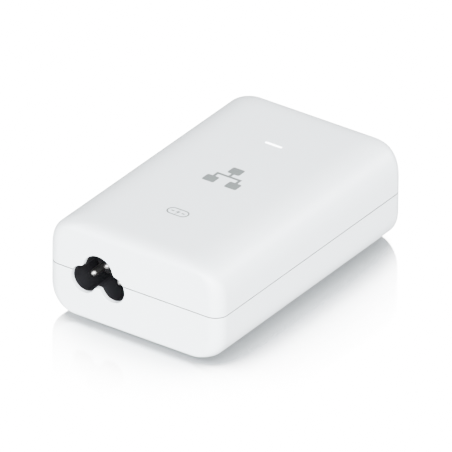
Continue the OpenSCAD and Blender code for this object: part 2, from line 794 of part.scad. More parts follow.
// The sprung part of the contact wires: eight straight wires sloping down into the plug opening.
module contact_springs(x) {
  color("gold") for (i = [0:contact_count - 1]) {
    translate([x + contact_x(i) - contact_w / 2, hinge_y, hinge_z]) rotate([contact_slope, 0, 0]) union() {
      translate([0, -contact_len, -contact_t / 2]) cube([contact_w, contact_len, contact_t]);
      rotate([0, 90, 0]) cylinder(r = contact_t / 2 + skin, h = contact_w);
    }
  }
}

module lan_jack_housing() {
  jack_housing(jack_xs[0]);
}

module lan_jack_shield() {
  jack_shield(jack_xs[0]);
}

module lan_contact_tails() {
  contact_tails(jack_xs[0]);
}

module lan_contact_springs() {
  contact_springs(jack_xs[0]);
}

module poe_jack_housing() {
  jack_housing(jack_xs[1]);
}

module poe_jack_shield() {
  jack_shield(jack_xs[1]);
}

module poe_contact_tails() {
  contact_tails(jack_xs[1]);
}

module poe_contact_springs() {
  contact_springs(jack_xs[1]);
}

upper_shell();
lower_shell();
foot(-foot_span_x / 2, -foot_span_y / 2);  // foot_1
foot(foot_span_x / 2, -foot_span_y / 2);  // foot_2
foot(-foot_span_x / 2, foot_span_y / 2);  // foot_3
foot(foot_span_x / 2, foot_span_y / 2);  // foot_4
rating_label();
led_light_pipe();
status_led();
ac_inlet_housing();
inlet_line_pin();
inlet_neutral_pin();
inlet_earth_pin();
main_circuit_board();
insulator_sheet();
mains_fuse();
surge_varistor();
inrush_thermistor();
mains_filter_capacitor();
choke_core();
choke_windings();
bridge_rectifier();
bulk_capacitor();
transformer_core();
transformer_bobbin();
transformer_winding();
primary_heat_sink();
switching_transistor();
secondary_heat_sink();
output_diode();
heat_sink_screws();
safety_capacitor();
feedback_optocoupler();
output_capacitor(0);  // output_capacitor_1
output_capacitor(1);  // output_capacitor_2
output_choke();
controller_chip();
data_transformer_module();
lan_jack_housing();
lan_jack_shield();
lan_contact_tails();
lan_contact_springs();
poe_jack_housing();
poe_jack_shield();
poe_contact_tails();
poe_contact_springs();
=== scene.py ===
import json
import math

import bmesh
import bpy
import numpy as np
from mathutils import Matrix, Vector


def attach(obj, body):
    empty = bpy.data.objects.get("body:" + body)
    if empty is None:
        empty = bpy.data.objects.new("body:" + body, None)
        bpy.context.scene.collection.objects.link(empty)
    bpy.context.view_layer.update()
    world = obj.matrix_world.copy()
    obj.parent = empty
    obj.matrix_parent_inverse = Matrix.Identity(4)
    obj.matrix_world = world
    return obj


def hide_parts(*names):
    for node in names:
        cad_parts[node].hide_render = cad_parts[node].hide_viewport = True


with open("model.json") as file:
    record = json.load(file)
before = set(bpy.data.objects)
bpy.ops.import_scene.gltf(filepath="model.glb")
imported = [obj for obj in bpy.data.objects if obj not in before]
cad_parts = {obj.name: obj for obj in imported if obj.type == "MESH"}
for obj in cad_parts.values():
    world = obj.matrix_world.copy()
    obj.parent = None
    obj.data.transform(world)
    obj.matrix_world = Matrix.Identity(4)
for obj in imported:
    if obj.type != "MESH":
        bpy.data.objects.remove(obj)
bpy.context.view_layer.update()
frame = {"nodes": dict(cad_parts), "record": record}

MM = 0.001

# ---------------------------------------------------------------------------------------------
# Sizes shared with the CAD model, in millimetres
# ---------------------------------------------------------------------------------------------
BODY_W = 64.5
BODY_L = 100.0
BODY_H = 32.5
CASE_Z = 1.2
TOP_Z = CASE_Z + BODY_H
SEAM_H = 16.0
SEAM_GAP = 0.3
WALL = 2.0
SIDE_TOP = (15.5, 12.5)
END_TOP = (7.5, 3.5)
SIDE_BOTTOM_R = 9.5
END_BOTTOM_R = 1.5
CORNER_R = 4.5
CORNER_GROWTH = 0.1
TOP_POWER = 2.9
BOTTOM_POWER = 2.4
LEAST_R = 0.6
LEAST_CORNER_R = 1.5
LEAST_DROP = 1.5
TONGUE_H = 1.6
TONGUE_T = 0.8
SKIN = 0.05

INLET_X = -13.1
PIN_Z = CASE_Z + 13.85
PIN_PITCH = 10.0
LOBE_PITCH = 10.7
EARTH_RISE = 4.1
PIN_R = 1.2
PIN_ROOT_R = 0.9
PIN_TAIL_R = 0.6
PIN_SETBACK = 4.2
INLET_DEPTH = 13.5
INLET_COLLAR = 0.7
SIDE_LOBE_R = 4.6
EARTH_LOBE_R = 5.6
RECESS_STEP = 0.35
INLET_WALL = 1.4

BOARD_TOP = CASE_Z + 5.5 + 1.6
LEAD_TIP_Z = CASE_Z + 5.5 - 1.2
JACK_XS = {"lan": -12.0, "poe": 12.0}
JACK_W = 15.6
JACK_H = 13.4
SHIELD_T = 0.25
JACK_FACE_Y = BODY_L / 2 - 0.7
OPENING_TOP = BOARD_TOP + 11.3
FIT_GAP = 0.2
CONTACTS = 8
CONTACT_PITCH = 1.02
CONTACT_W = 0.4
CONTACT_T = 0.3
CONTACT_LEN = 8.6
CONTACT_SLOPE = math.radians(20)
HINGE_Y = JACK_FACE_Y - 2.6
HINGE_Z = OPENING_TOP + 0.55

SLIT_LEN = 6.2
SLIT_W = 1.0
SLIT_Y = 25.4

FOOT_D = 9.0
FOOT_TOP = CASE_Z + 0.8
FOOT_SPAN = (34.0, 78.0)
LABEL_W = 40.0
LABEL_L = 56.0
LABEL_Z = CASE_Z + 0.1
BOARD_T = 1.6
POST_R = 2.2
POSTS = ((-23.5, -42), (23.5, -44), (-23.6, 27.5), (23, 31))

# Printed marks on the flat of the top, and the icons over the sockets.
INK_T = 0.015
MARK_X, MARK_Y = 0.2, 1.0
MARK_SIZE = 12.8
BADGE_X, BADGE_Y = 0.0, -26.0
BADGE_W, BADGE_L = 7.8, 4.1
SOCKET_ICON_Z = CASE_Z + 24.7


# ---------------------------------------------------------------------------------------------
# Camera, lights and floor
# ---------------------------------------------------------------------------------------------
# Azimuth, elevation and roll in degrees. The rest is in millimetres; the lens is long and far away.
CAMERA_ANGLES = (34.606, 29.898, 0.504)
CAMERA_DISTANCE = 4707.994
CAMERA_SHIFT = (-0.047, -0.677)
CAMERA_SENSOR = 36.0
CAMERA_LENS = 1218.4805


def add_camera():
    azimuth, elevation, roll = (math.radians(a) for a in CAMERA_ANGLES)
    distance = CAMERA_DISTANCE * MM
    flat = math.cos(elevation)
    back = Vector((math.sin(azimuth) * flat, -math.cos(azimuth) * flat, math.sin(elevation)))
    level = Vector((math.cos(azimuth), math.sin(azimuth), 0))
    upright = back.cross(level)
    right = level * math.cos(roll) + upright * math.sin(roll)
    up = upright * math.cos(roll) - level * math.sin(roll)
    data = bpy.data.cameras.new("camera")
    data.sensor_width = CAMERA_SENSOR
    data.lens = CAMERA_LENS
    data.clip_start = 0.1
    data.clip_end = 50
    camera = bpy.data.objects.new("camera", data)
    target = Vector((0, 0, (CASE_Z + BODY_H / 2) * MM))
    place = target + back * distance + (right * CAMERA_SHIFT[0] + up * CAMERA_SHIFT[1]) * MM
    rotation = Matrix((right, up, back)).transposed().to_4x4()
    camera.matrix_world = Matrix.Translation(place) @ rotation
    bpy.context.scene.collection.objects.link(camera)
    bpy.context.scene.camera = camera


# Softboxes: direction from the part, size in metres, and radiance. The sheen is seen only in gloss.
SOFTBOXES = {
    "front_low": ((0.1, -1, 0.12), (1.6, 0.8), 23.5),
    "front_mid": ((0.15, -1, 0.5), (1.6, 1.0), 5.7),
    "front_right": ((0.7, -0.75, 0.5), (1.4, 1.0), 33.7),
    "right_high": ((0.6, 0.1, 0.9), (1.6, 1.2), 4.1),
    "left_mid": ((-1, -0.1, 0.5), (1.4, 0.9), 1.5),
    "back_mid": ((0.1, 1, 0.5), (1.6, 1.0), 5.6),
}
EDGE_SHEEN = ((0.5, 0.71, 0.49), (0.9, 0.7), 18.0)
SOFTBOX_DISTANCE = 1.6

# Radiance of the room as a fill light, and of everything white that the camera sees.
ROOM = 0.6
WHITE = 17.0

# The floor as a source of light for the part: its glow and its diffuse tone.
FLOOR_BOUNCE = 0.6
FLOOR_TONE = 0.3

# The floor's mirror: strength close to the part, blur, and the open sky over which it fades.
FLOOR_MIRROR = 1.0
FLOOR_BLUR = 0.03
MIRROR_SPAN = (0.59, 0.91)

# The floor's shade: reach in millimetres, tilt towards the part's left side, the open sky over which
# it lifts, and its darkest level.
SHADE_REACH = 60.0
SHADE_TILT = (-0.7, 0.0, 0.7)
SHADE_SPAN = (0.24, 0.36)
SHADE_LEAST = 0.6


def add_softbox(name, direction, size, radiance):
    data = bpy.data.lights.new(name, "AREA")
    data.shape = "RECTANGLE"
    data.size, data.size_y = size
    data.energy = radiance * size[0] * size[1] * math.pi
    light = bpy.data.objects.new(name, data)
    toward = Vector(direction).normalized()
    light.location = toward * SOFTBOX_DISTANCE + Vector((0, 0, BODY_H / 2 * MM))
    light.rotation_euler = toward.to_track_quat("Z", "Y").to_euler()
    bpy.context.scene.collection.objects.link(light)


def wire_up(nodes, links, kind, *sources, **settings):
    """Add a node, set its properties and feed its sockets in order.

    A source is a socket, a value, or None to leave that socket as it is."""
    node = nodes.new(kind)
    for name, value in settings.items():
        setattr(node, name, value)
    for socket, source in zip(node.inputs, sources):
        if isinstance(source, bpy.types.NodeSocket):
            links.new(source, socket)
        elif source is not None:
            socket.default_value = source
    return node.outputs[0]


def add_sheen():
    """A softbox behind the part that shows only as a sheen along its right top edge."""
    add_softbox("edge_sheen", *EDGE_SHEEN)
    bpy.data.objects["edge_sheen"].visible_diffuse = False


def add_room():
    """A plain room: soft in the fill light, white behind the part and in the floor's mirror."""
    world = bpy.data.worlds.new("studio")
    bpy.context.scene.world = world
    world.use_nodes = True
    nodes, links = world.node_tree.nodes, world.node_tree.links
    rays = nodes.new("ShaderNodeLightPath").outputs
    seen = wire_up(nodes, links, "ShaderNodeMath", rays["Is Camera Ray"], rays["Is Singular Ray"],
                   operation="MAXIMUM")
    level = wire_up(nodes, links, "ShaderNodeMapRange", seen, 0.0, 1.0, ROOM, WHITE, name="room_level")
    nodes["Background"].inputs["Color"].default_value = (1, 1, 1, 1)
    links.new(level, nodes["Background"].inputs["Strength"])


def add_floor():
    """White acrylic. It glows white, darkens where the part shades it, and mirrors the part close by."""
    bpy.ops.mesh.primitive_plane_add(size=24)
    floor = bpy.context.object
    floor.name = "studio_floor"
    material = bpy.data.materials.new("studio_floor")
    material.use_nodes = True
    nodes, links = material.node_tree.nodes, material.node_tree.links
    nodes.clear()

    def node(kind, *sources, **settings):
        return wire_up(nodes, links, kind, *sources, **settings)

    def open_sky(normal=None):
        """How much of the sky within reach is free, about the floor's normal or a tilted one."""
        occlusion = nodes.new("ShaderNodeAmbientOcclusion")
        occlusion.samples = 16
        occlusion.inputs["Distance"].default_value = SHADE_REACH * MM
        if normal:
            links.new(node("ShaderNodeCombineXYZ", *normal), occlusion.inputs["Normal"])
        return occlusion.outputs["AO"]

    depth = node("ShaderNodeMapRange", open_sky(SHADE_TILT), *SHADE_SPAN, math.log(SHADE_LEAST), 0.0)
    shade = node("ShaderNodeMath", depth, operation="EXPONENT")
    white = node("ShaderNodeEmission", shade, WHITE)
    geometry = nodes.new("ShaderNodeNewGeometry")
    grain = nodes.new("ShaderNodeTexWhiteNoise")
    links.new(geometry.outputs["Position"], grain.inputs["Vector"])
    tilt = node("ShaderNodeVectorMath", grain.outputs["Color"], (-0.5, -0.5, -0.5))
    tilt = node("ShaderNodeVectorMath", tilt, (FLOOR_BLUR, FLOOR_BLUR, 0), operation="MULTIPLY")
    tilt = node("ShaderNodeVectorMath", tilt, (0, 0, 1))
    tilt = node("ShaderNodeVectorMath", tilt, operation="NORMALIZE")
    mirror = nodes.new("ShaderNodeBsdfGlossy")
    mirror.inputs["Roughness"].default_value = 0.0
    links.new(shade, mirror.inputs["Color"])
    links.new(tilt, mirror.inputs["Normal"])
    weight = node("ShaderNodeMapRange", open_sky(), *MIRROR_SPAN, FLOOR_MIRROR, 0.0)
    seen = node("ShaderNodeMixShader", weight, white, mirror.outputs[0])

    bounce = node("ShaderNodeEmission", (1, 1, 1, 1), FLOOR_BOUNCE, name="bounce")
    chalk = node("ShaderNodeBsdfDiffuse", (FLOOR_TONE, FLOOR_TONE, FLOOR_TONE, 1))
    felt = node("ShaderNodeAddShader", bounce, chalk)
    rays = nodes.new("ShaderNodeLightPath").outputs
    node_out = nodes.new("ShaderNodeOutputMaterial")
    lit = node("ShaderNodeMixShader", rays["Is Camera Ray"], felt, seen)
    clear = nodes.new("ShaderNodeBsdfTransparent").outputs[0]
    from_below = node("ShaderNodeMixShader", geometry.outputs["Backfacing"], lit, clear)
    links.new(from_below, node_out.inputs["Surface"])
    floor.data.materials.append(material)


# ---------------------------------------------------------------------------------------------
# Materials
# ---------------------------------------------------------------------------------------------
GLOSS_DRIFT = 0.05


def surface(name, color, roughness, grain=0.3, bump=0.02, drift=0.03, metallic=0.0, coat=0.0,
            subsurface=0.0, specular=0.5, glow=0.0, stretch=(1, 1, 1), wear=0.0, speckle=0.0, seam_shade=0.0):
    """A procedural finish. Fine grain of the given size in mm gives relief and gloss, a slow drift
    changes the tone, wear lightens the edges and speckle adds scattered darker specks. The last
    setting is how far the faces inside the case's parting line darken: painted shade in that gap."""
    material = bpy.data.materials.new(name)
    material.use_nodes = True
    nodes, links = material.node_tree.nodes, material.node_tree.links
    shader = nodes["Principled BSDF"]
    shader.inputs["Metallic"].default_value = metallic
    shader.inputs["IOR"].default_value = 1.5
    shader.inputs["Specular IOR Level"].default_value = specular
    shader.inputs["Coat Weight"].default_value = coat
    shader.inputs["Coat Roughness"].default_value = 0.12
    if subsurface:
        shader.inputs["Subsurface Weight"].default_value = subsurface
        shader.inputs["Subsurface Radius"].default_value = (1, 1, 1)
        shader.inputs["Subsurface Scale"].default_value = 0.6 * MM
    if glow:
        shader.inputs["Emission Color"].default_value = (1, 1, 1, 1)
        shader.inputs["Emission Strength"].default_value = glow
    place = nodes.new("ShaderNodeTexCoord")
    scale = nodes.new("ShaderNodeMapping")
    scale.inputs["Scale"].default_value = stretch
    links.new(place.outputs["Object"], scale.inputs["Vector"])

    def noise(size, detail, vector):
        node = nodes.new("ShaderNodeTexNoise")
        node.inputs["Scale"].default_value = 1 / (size * MM)
        node.inputs["Detail"].default_value = detail
        links.new(vector, node.inputs["Vector"])
        return node.outputs["Fac"]

    def mixed(factor, first, second):
        node = nodes.new("ShaderNodeMix")
        node.data_type = "RGBA"
        links.new(factor, node.inputs["Factor"])
        for value, socket in ((first, node.inputs["A"]), (second, node.inputs["B"])):
            if isinstance(value, bpy.types.NodeSocket):
                links.new(value, socket)
            else:
                socket.default_value = (*value, 1)
        return node.outputs["Result"]

    def ranged(value, low, high, to_low, to_high):
        node = nodes.new("ShaderNodeMapRange")
        links.new(value, node.inputs["Value"])
        ends = {"From Min": low, "From Max": high, "To Min": to_low, "To Max": to_high}
        for socket, number in ends.items():
            node.inputs[socket].default_value = number
        return node.outputs["Result"]

    fine = noise(grain, 3, scale.outputs["Vector"])
    relief = nodes.new("ShaderNodeBump")
    relief.inputs["Strength"].default_value = 1.0
    relief.inputs["Distance"].default_value = bump * MM
    links.new(fine, relief.inputs["Height"])
    links.new(relief.outputs["Normal"], shader.inputs["Normal"])

    slow = noise(16, 4, place.outputs["Object"])
    tone = mixed(slow, [c * (1 - drift) for c in color], [min(1, c * (1 + drift)) for c in color])
    if speckle:
        specks = ranged(noise(grain * 1.7, 1, place.outputs["Object"]), 0.64, 0.72, 0, speckle)
        tone = mixed(specks, tone, [c * 0.35 for c in color])
    if wear:
        geometry = nodes.new("ShaderNodeNewGeometry")
        edges = ranged(geometry.outputs["Pointiness"], 0.52, 0.6, 0, wear)
        tone = mixed(edges, tone, [min(1, c * 1.5 + 0.05) for c in color])
    # Painted shade: faces within the parting-line gap between the shells darken to 3% of the colour, standing
    # in for the shade inside the gap.
    if seam_shade:
        height = nodes.new("ShaderNodeSeparateXYZ")
        links.new(place.outputs["Object"], height.inputs["Vector"])
        middle = (CASE_Z + SEAM_H + SEAM_GAP / 2) * MM
        off = nodes.new("ShaderNodeMath")
        off.operation = "SUBTRACT"
        links.new(height.outputs["Z"], off.inputs[0])
        off.inputs[1].default_value = middle
        away = nodes.new("ShaderNodeMath")
        away.operation = "ABSOLUTE"
        links.new(off.outputs[0], away.inputs[0])
        half = SEAM_GAP / 2 * MM
        inside = ranged(away.outputs[0], half + 0.01 * MM, half + 0.03 * MM, seam_shade, 0)
        tone = mixed(inside, tone, [c * 0.03 for c in color])
    links.new(tone, shader.inputs["Base Color"])
    gloss = ranged(fine, 0.3, 0.7, max(0.02, roughness - GLOSS_DRIFT), roughness + GLOSS_DRIFT)
    links.new(gloss, shader.inputs["Roughness"])
    return material


# One finish for each material slot of the record: colour, roughness and surface()'s other settings.
FINISHES = {
    # The case plastic's last setting paints shade inside the parting line between the shells.
    "case_plastic": (
        (0.70, 0.75, 0.785), 0.38,
        dict(grain=0.35, bump=0.004, drift=0.008, subsurface=0.04, seam_shade=1.0),
    ),
    "foot_rubber": ((0.50, 0.51, 0.52), 0.7, dict(grain=0.2, bump=0.02, speckle=0.2)),
    "label_film": ((0.70, 0.71, 0.73), 0.3, dict(grain=0.5, bump=0.003, coat=0.3)),
    "light_pipe": ((0.93, 0.95, 0.97), 0.25, dict(grain=0.4, bump=0.002, subsurface=0.3, glow=9.0)),
    "led_lens": ((0.9, 0.85, 0.55), 0.2, dict(grain=0.3, bump=0.002, coat=0.5)),
    "inlet_plastic": ((0.006, 0.006, 0.007), 0.45, dict(grain=0.5, bump=0.002, drift=0.1, specular=0.2)),
    "pin_nickel": (
        (0.34, 0.34, 0.33), 0.32,
        dict(grain=0.12, bump=0.002, metallic=1.0, stretch=(1, 0.15, 1)),
    ),
    "board_laminate": (
        (0.02, 0.13, 0.05), 0.35,
        dict(grain=0.8, bump=0.01, drift=0.1, coat=0.3, speckle=0.3),
    ),
    "insulator_film": ((0.70, 0.69, 0.60), 0.45, dict(grain=1.5, bump=0.01, drift=0.05)),
    "part_black": ((0.022, 0.022, 0.024), 0.5, dict(grain=0.25, bump=0.012, drift=0.12, wear=0.05)),
    "varistor_coat": ((0.04, 0.13, 0.45), 0.25, dict(grain=1.2, bump=0.03, coat=0.4)),
    "thermistor_coat": ((0.07, 0.09, 0.06), 0.5, dict(grain=0.6, bump=0.03, speckle=0.3)),
    "film_capacitor_box": ((0.70, 0.44, 0.05), 0.35, dict(grain=0.5, bump=0.01, wear=0.2)),
    "choke_core_coat": ((0.09, 0.24, 0.15), 0.4, dict(grain=0.5, bump=0.02)),
    "copper_wire": ((0.55, 0.20, 0.07), 0.3, dict(grain=0.4, bump=0.004, metallic=0.9, coat=0.6)),
    "capacitor_sleeve": ((0.02, 0.03, 0.10), 0.25, dict(grain=0.9, bump=0.01, coat=0.3)),
    "ferrite": ((0.055, 0.055, 0.06), 0.55, dict(grain=0.3, bump=0.02, wear=0.1, speckle=0.4)),
    "bobbin_plastic": ((0.08, 0.04, 0.02), 0.45, dict(grain=0.5, bump=0.01, wear=0.1)),
    "winding_tape": ((0.78, 0.58, 0.08), 0.3, dict(grain=1.5, bump=0.03, stretch=(1, 0.2, 1))),
    "heat_sink_metal": (
        (0.70, 0.71, 0.72), 0.35,
        dict(grain=0.3, bump=0.008, metallic=1.0, stretch=(1, 1, 0.1)),
    ),
    "screw_steel": ((0.60, 0.61, 0.63), 0.3, dict(grain=0.2, bump=0.006, metallic=1.0)),
    "safety_capacitor_coat": ((0.05, 0.30, 0.50), 0.3, dict(grain=1.2, bump=0.03, coat=0.3)),
    "jack_plastic": ((0.012, 0.012, 0.014), 0.45, dict(grain=0.3, bump=0.006, drift=0.1, specular=0.25)),
    "shield_metal": (
        (0.72, 0.71, 0.68), 0.28,
        dict(grain=0.25, bump=0.004, metallic=1.0, stretch=(0.15, 1, 1)),
    ),
    "contact_gold": ((0.86, 0.60, 0.20), 0.2, dict(grain=0.15, bump=0.002, metallic=1.0)),
}
INK = ((0.10, 0.115, 0.115), 0.5, dict(grain=0.12, bump=0.003, drift=0.06))


def make_materials():
    finishes = {**FINISHES, "printed_ink": INK}
    return {name: surface(name, color, rough, **rest) for name, (color, rough, rest) in finishes.items()}


# ---------------------------------------------------------------------------------------------
# Mesh helpers. Points are in millimetres.
# ---------------------------------------------------------------------------------------------
def mesh_object(name, points, faces):
    mesh = bpy.data.meshes.new(name)
    mesh.from_pydata([tuple(c * MM for c in p) for p in points], [], faces)
    mesh.validate()
    obj = bpy.data.objects.new(name, mesh)
    bpy.context.scene.collection.objects.link(obj)
    bm = bmesh.new()
    bm.from_mesh(mesh)
    bmesh.ops.recalc_face_normals(bm, faces=bm.faces)
    bm.to_mesh(mesh)
    bm.free()
    return obj


def band(first, second, count):
    """Quads between two rings of count points that start at those point numbers."""
    steps = [(i, (i + 1) % count) for i in range(count)]
    return [(first + i, first + k, second + k, second + i) for i, k in steps]


def loft(name, rings):
    """A closed skin over rings of equal point counts, capped at both ends."""
    count = len(rings[0])
    faces = []
    for j in range(len(rings) - 1):
        faces += band(j * count, (j + 1) * count, count)
    faces.append(tuple(reversed(range(count))))
    faces.append(tuple(range((len(rings) - 1) * count, len(rings) * count)))
    return mesh_object(name, [p for ring in rings for p in ring], faces)


def pipe(name, rings):
    """A closed skin over rings that go out along the outside and come back along a hole."""
    count = len(rings[0])
    faces = []
    for j in range(len(rings)):
        faces += band(j * count, (j + 1) % len(rings) * count, count)
    return mesh_object(name, [p for ring in rings for p in ring], faces)


def circle(r, sides=24):
    angles = [2 * math.pi * i / sides for i in range(sides)]
    return [(r * math.cos(a), r * math.sin(a)) for a in angles]


def lathe(name, profile, centre, sides=48):
    """A turned piece about an upright axis: (radius, height) pairs from end to end."""
    x0, y0 = centre
    return loft(name, [[(x0 + x, y0 + y, z) for x, y in circle(r, sides)] for r, z in profile])


def sweep(name, path, section, scales=None, up=(0, 0, 1)):
    """A closed skin: the section carried along the path and scaled at each of its points."""
    path = [Vector(p) for p in path]
    last = len(path) - 1
    rings = []
    side = None
    for i, point in enumerate(path):
        ahead = (path[min(i + 1, last)] - path[max(i - 1, 0)]).normalized()
        side = Vector(up).cross(ahead) if side is None else side - ahead * side.dot(ahead)
        side.normalize()
        top = ahead.cross(side)
        k = scales[i] if scales else 1
        rings.append([tuple(point + side * (x * k) + top * (y * k)) for x, y in section])
    return loft(name, rings)


def arc(centre, first, second, start, end, steps=6):
    """Points of an arc about centre: cos along the vector first, sin along the vector second."""
    points = []
    for i in range(steps + 1):
        a = math.radians(start + (end - start) * i / steps)
        points.append(Vector(centre) + Vector(first) * math.cos(a) + Vector(second) * math.sin(a))
    return points


def rounded_rectangle(w, l, r, steps=8):
    """Points round a rectangle of size w by l with corner radius r, anticlockwise."""
    points = []
    for c, (sx, sy) in enumerate(((1, 1), (-1, 1), (-1, -1), (1, -1))):
        for i in range(steps + 1):
            a = math.radians(90 * (c + i / steps))
            points.append((sx * (w / 2 - r) + r * math.cos(a), sy * (l / 2 - r) + r * math.sin(a)))
    return points


def cut(obj, cutter, operation="DIFFERENCE"):
    modifier = obj.modifiers.new("cut", "BOOLEAN")
    modifier.operation = operation
    modifier.solver = "EXACT"
    modifier.object = cutter
    apply_modifiers(obj)
    bpy.data.objects.remove(cutter)


def apply_modifiers(obj):
    bpy.context.view_layer.update()
    evaluated = obj.evaluated_get(bpy.context.evaluated_depsgraph_get())
    mesh = bpy.data.meshes.new_from_object(evaluated)
    old = obj.data
    obj.modifiers.clear()
    obj.data = mesh
    bpy.data.meshes.remove(old)


def join(name, parts):
    """One object out of several, in the order given."""
    bm = bmesh.new()
    for part in parts:
        bm.from_mesh(part.data)
    mesh = bpy.data.meshes.new(name)
    bm.to_mesh(mesh)
    bm.free()
    for part in parts:
        bpy.data.objects.remove(part)
    obj = bpy.data.objects.new(name, mesh)
    bpy.context.scene.collection.objects.link(obj)
    return obj


def smooth(obj, angle=35):
    for polygon in obj.data.polygons:
        polygon.use_smooth = True
    obj.data.set_sharp_from_angle(angle=math.radians(angle))
    modifier = obj.modifiers.new("even_normals", "WEIGHTED_NORMAL")
    modifier.keep_sharp = True
    modifier.weight = 100


def soften(node, width, segments=2):
    """A copy of a CAD node's mesh. With a width, its flat faces are merged and its edges rounded."""
    bm = bmesh.new()
    bm.from_mesh(frame["nodes"][node].data)
    bmesh.ops.remove_doubles(bm, verts=bm.verts, dist=0.001 * MM)
    if width:
        bmesh.ops.dissolve_limit(bm, angle_limit=math.radians(1), verts=bm.verts, edges=bm.edges)
    bm.verts.index_update()
    points = [tuple(v.co / MM) for v in bm.verts]
    faces = [[v.index for v in f.verts] for f in bm.faces]
    bm.free()
    obj = mesh_object(node + "_soft", points, faces)
    if not width:
        return obj
    bevel = obj.modifiers.new("soft_edges", "BEVEL")
    bevel.width = width * MM
    bevel.segments = segments
    bevel.limit_method = "ANGLE"
    bevel.angle_limit = math.radians(40)
    bevel.use_clamp_overlap = True
    apply_modifiers(obj)
    return obj


def mouth_profile(radius, depth, steps=5, outside=1.0):
    """(depth, widening) pairs of a cutter that leaves a mouth edge rounded by radius."""
    pairs = [(-outside, radius)]
    for i in range(steps + 1):
        a = math.pi / 2 * i / steps
        pairs.append((radius * (1 - math.cos(a)), radius * (1 - math.sin(a))))
    pairs.append((depth, 0.0))
    return pairs


def finish(obj, body, slot, materials, *nodes, angle=35, color=None):
    """Shade a piece, give it its material, tie it to its body and hide the CAD nodes it stands for."""
    smooth(obj, angle)
    obj.data.materials.clear()
    obj.data.materials.append(materials[color or slot])
    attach(obj, body)
    if nodes:
        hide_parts(*nodes)


# ---------------------------------------------------------------------------------------------
# Case
# ---------------------------------------------------------------------------------------------
CORNER_STEPS = 14
EDGE_STEPS = 36


def edge_curve(t, run, power):
    t = min(1.0, max(0.0, t))
    return run * (1 - (1 - t ** power) ** (1 / power))


def case_level(z, d, extra=0.0):
    """One level of the case skin at height z over its base, d inside the outer face."""
    top = z - (BODY_H - d)
    base = z - d
    side_drop = SIDE_TOP[1] - d
    end_drop = max(END_TOP[1] - d, LEAST_DROP)
    side_r = SIDE_BOTTOM_R - d
    end_r = max(END_BOTTOM_R - d, LEAST_R)
    a = edge_curve((top + side_drop) / side_drop, SIDE_TOP[0] - d, TOP_POWER)
    a += edge_curve((side_r - base) / side_r, side_r, BOTTOM_POWER)
    b = edge_curve((top + end_drop) / end_drop, END_TOP[0] - d, TOP_POWER)
    b += edge_curve((end_r - base) / end_r, end_r, BOTTOM_POWER)
    w = BODY_W / 2 - d - a - extra
    l = BODY_L / 2 - d - b - extra
    r = max(CORNER_R - d, LEAST_CORNER_R) + CORNER_GROWTH * math.sqrt(a * b) - extra / 2
    return [(x, y, CASE_Z + z) for x, y in rounded_rectangle(2 * w, 2 * l, r, CORNER_STEPS)]


def curve_heights(drop, power):
    """Heights over the start of an edge curve, close together where it turns."""
    return [drop * math.sin(math.pi / 2 * i / EDGE_STEPS) ** (2 / power) for i in range(EDGE_STEPS + 1)]


def lip_levels(z0, up, radius=0.06, steps=3):
    """(height, extra inset) pairs that round a shell's edge at the parting line."""
    pairs = []
    for i in range(steps + 1):
        a = math.pi / 2 * i / steps
        pairs.append((z0 + up * radius * (1 - math.cos(a)), radius * (1 - math.sin(a))))
    return pairs


def bowl(name, outer, inner):
    """A bowl-shaped solid: outer rings from rim to crown, inner rings from crown back to the rim."""
    count = len(outer[0])
    rings = outer + inner
    crown = len(outer) - 1
    faces = []
    for j in range(len(rings)):
        if j != crown:
            faces += band(j * count, (j + 1) % len(rings) * count, count)
    faces.append(tuple(range(crown * count, (crown + 1) * count)))
    faces.append(tuple(reversed(range((crown + 1) * count, (crown + 2) * count))))
    return mesh_object(name, [p for ring in rings for p in ring], faces)


def clover_distance(x, z, blend=0.9):
    """Signed distance to the inlet's cloverleaf outline, with its inner corners softened."""
    left = np.hypot(x + LOBE_PITCH / 2, z) - SIDE_LOBE_R
    right = np.hypot(x - LOBE_PITCH / 2, z) - SIDE_LOBE_R
    earth = np.hypot(x, z - EARTH_RISE) - EARTH_LOBE_R
    qx, qz = np.abs(x) - LOBE_PITCH / 2, np.abs(z - 1.6) - 1.6
    middle = np.hypot(np.maximum(qx, 0), np.maximum(qz, 0)) + np.minimum(np.maximum(qx, qz), 0)

    def soft_min(a, b):
        h = np.maximum(blend - np.abs(a - b), 0) / blend
        return np.minimum(a, b) - h * h * blend / 4

    return soft_min(soft_min(soft_min(left, earth), right), middle)


def clover_outline(grow, count=180):
    """Points of the cloverleaf outline widened by grow, in the inlet's plane."""
    centre_z = 1.9
    angles = np.linspace(0, 2 * math.pi, count, endpoint=False)
    low, high = np.zeros(count), np.full(count, 16.0)
    for _ in range(40):
        middle = (low + high) / 2
        inside = clover_distance(middle * np.cos(angles), centre_z + middle * np.sin(angles)) < grow
        low, high = np.where(inside, middle, low), np.where(inside, high, middle)
    return [(INLET_X + r * math.cos(a), PIN_Z + centre_z + r * math.sin(a)) for r, a in zip(low, angles)]


def clover_solid(pairs, face_y, grow=0.0):
    """A solid of cloverleaf section: (depth behind face_y, widening) pairs."""
    rings = [[(x, face_y + depth, z) for x, z in clover_outline(grow + wide)] for depth, wide in pairs]
    return loft("solid", rings)


def block_y(x, z, w, h, r, pairs, face_y, sign):
    """A solid of rounded-rectangle section that goes in from face_y, against sign along Y."""
    rings = []
    for depth, wide in pairs:
        outline = rounded_rectangle(w + 2 * wide, h + 2 * wide, r + wide, 5)
        rings.append([(x + px, face_y - sign * depth, z + pz) for px, pz in outline])
    return loft("solid", rings)


def block_z(x, y, w, l, r, pairs, face_z, sign, steps=8):
    """A solid of rounded-rectangle section that goes in from face_z, against sign along Z."""
    rings = []
    for depth, wide in pairs:
        outline = rounded_rectangle(w + 2 * wide, l + 2 * wide, r + wide, steps)
        rings.append([(x + px, y + py, face_z - sign * depth) for px, py in outline])
    return loft("solid", rings)


